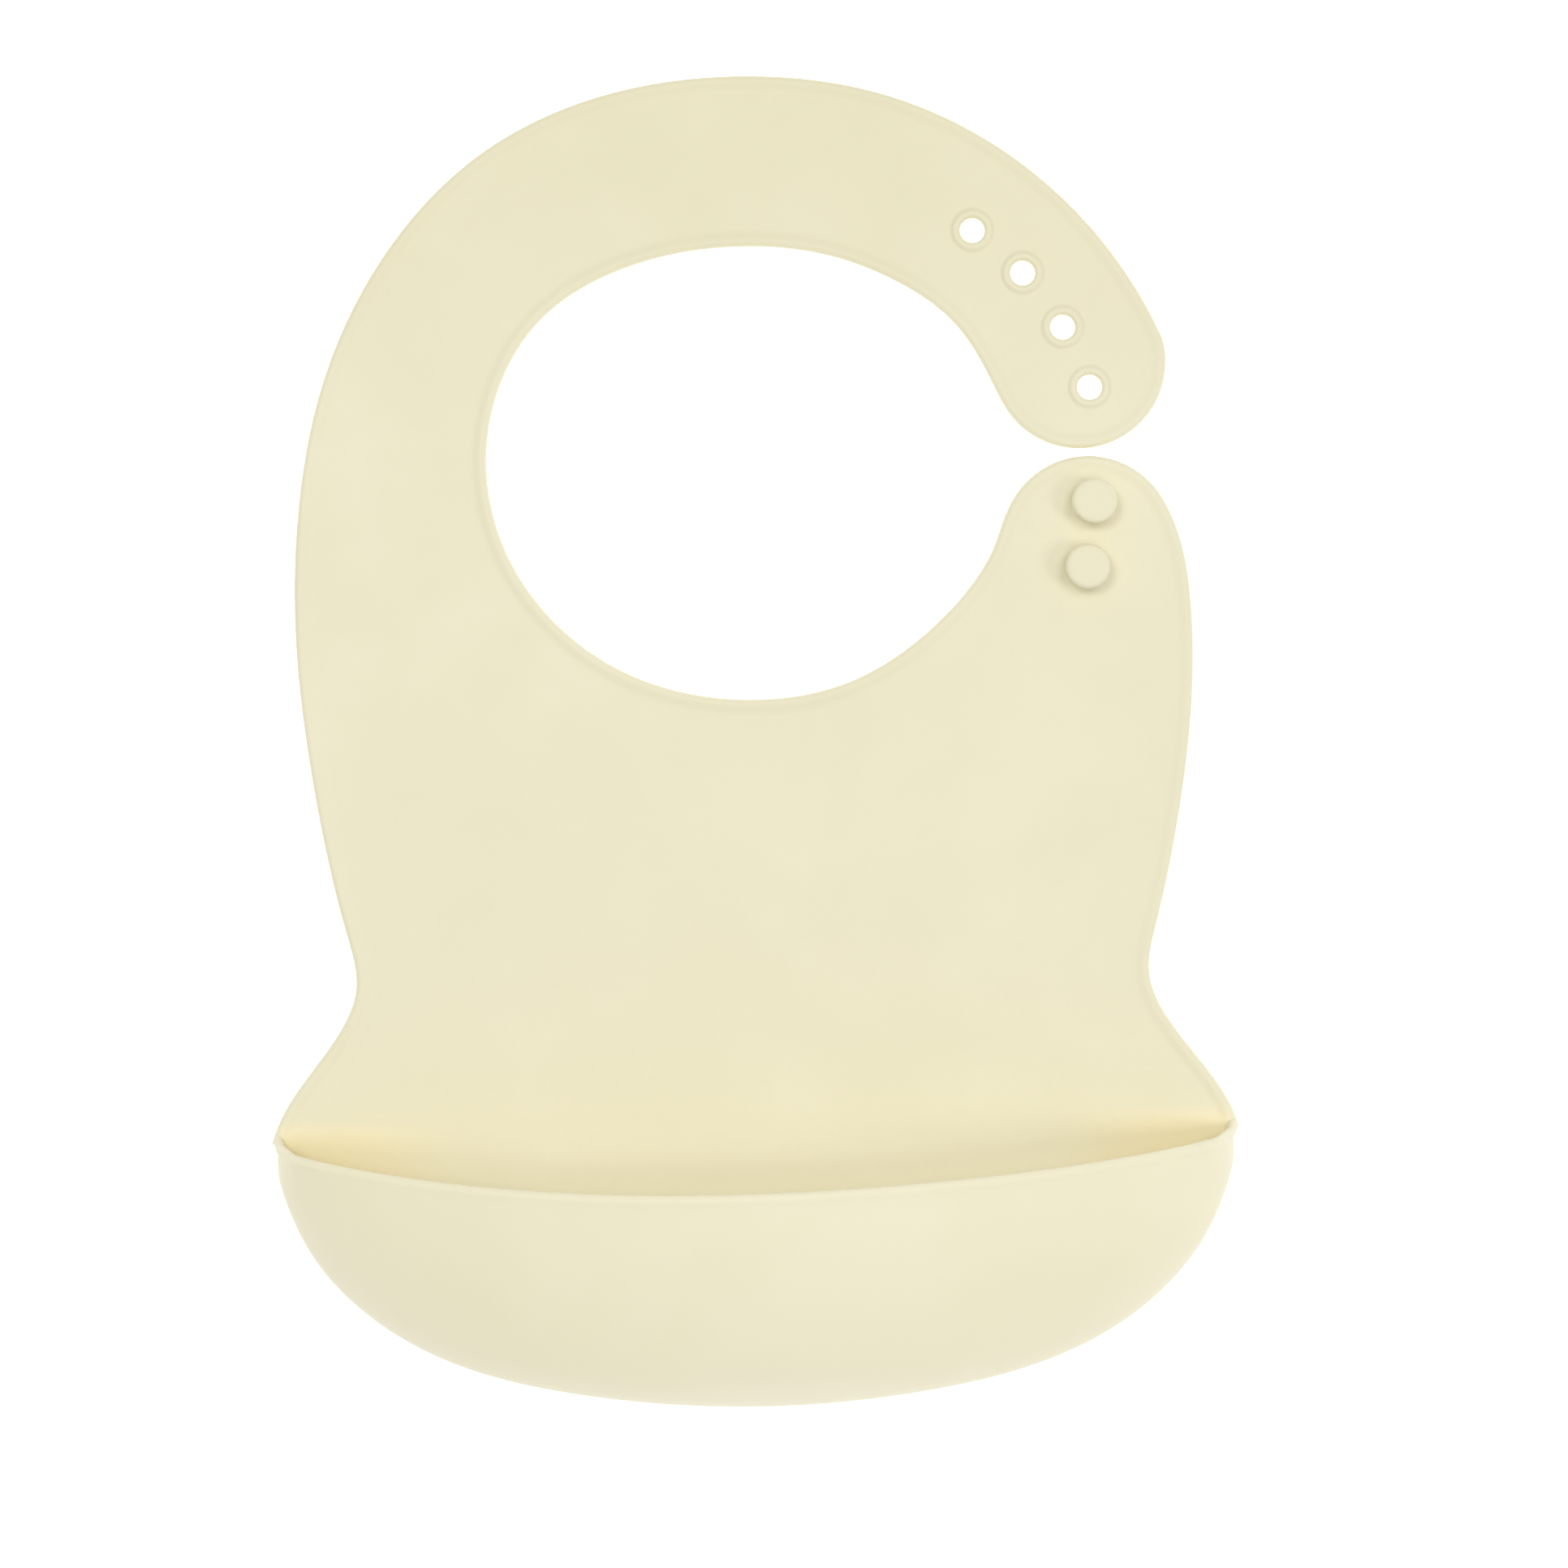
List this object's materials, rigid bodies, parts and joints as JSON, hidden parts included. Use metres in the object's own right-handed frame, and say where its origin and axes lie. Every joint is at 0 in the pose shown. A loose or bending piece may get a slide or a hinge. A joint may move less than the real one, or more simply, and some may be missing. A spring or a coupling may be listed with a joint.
{
  "type": "silicone baby bib",
  "caption": "Soft cream silicone baby bib lying flat, with a neck strap that closes on studs, flared sides and a deep curved catch pocket along the bottom.",
  "frame": {"origin": "on the rest plane, under the middle of the bib's bounding box", "axes": "+X across the bib towards the side with the studs, +Y from the pocket towards the neck strap, +Z out of the front face; the bib lies on its back"},
  "size_m": [0.2212, 0.3024, 0.0379],
  "materials": {
    "silicone": "satin matte cream food-grade silicone"
  },
  "bodies": {
    "chest": {"chest_panel": "silicone"},
    "shoulder": {"shoulder_strap": "silicone"},
    "crown": {"crown_strap": "silicone"},
    "strap_end": {"hole_strap": "silicone"},
    "tab": {"stud_tab": "silicone", "upper_stud": "silicone", "lower_stud": "silicone"},
    "pouch": {"pouch_back": "silicone", "pocket_side_wall": "silicone"},
    "pocket_front": {"pocket_front_wall": "silicone"}
  },
  "joints": [
    {"name": "waist_fold", "type": "hinge", "parent": "chest", "child": "pouch", "pos_m": [0, -0.0556, 0.003], "axis": [-1, 0, 0], "range_deg": [0, 90], "stiffness_Nm_per_rad": 0.015},
    {"name": "pocket_flex", "type": "hinge", "parent": "pouch", "child": "pocket_front", "pos_m": [0, -0.1482, 0.003], "axis": [1, 0, 0], "range_deg": [-20, 15], "stiffness_Nm_per_rad": 0.25},
    {"name": "stud_tab_flex", "type": "hinge", "parent": "chest", "child": "tab", "pos_m": [0.072, 0.0245, 0.003], "axis": [1, 0, 0], "range_deg": [0, 90], "stiffness_Nm_per_rad": 0.004},
    {"name": "shoulder_flex", "type": "hinge", "parent": "chest", "child": "shoulder", "pos_m": [-0.08, 0.0588, 0.003], "axis": [1, 0, 0], "range_deg": [0, 90], "stiffness_Nm_per_rad": 0.004},
    {"name": "crown_flex", "type": "hinge", "parent": "shoulder", "child": "crown", "pos_m": [-0.02887, 0.12556, 0.003], "axis": [0.3746, -0.9272, 0], "range_deg": [0, 30], "stiffness_Nm_per_rad": 0.004},
    {"name": "strap_end_flex", "type": "hinge", "parent": "crown", "child": "strap_end", "pos_m": [0.03731, 0.11918, 0.003], "axis": [-0.5446, -0.8387, 0], "range_deg": [0, 45], "stiffness_Nm_per_rad": 0.004}
  ]
}
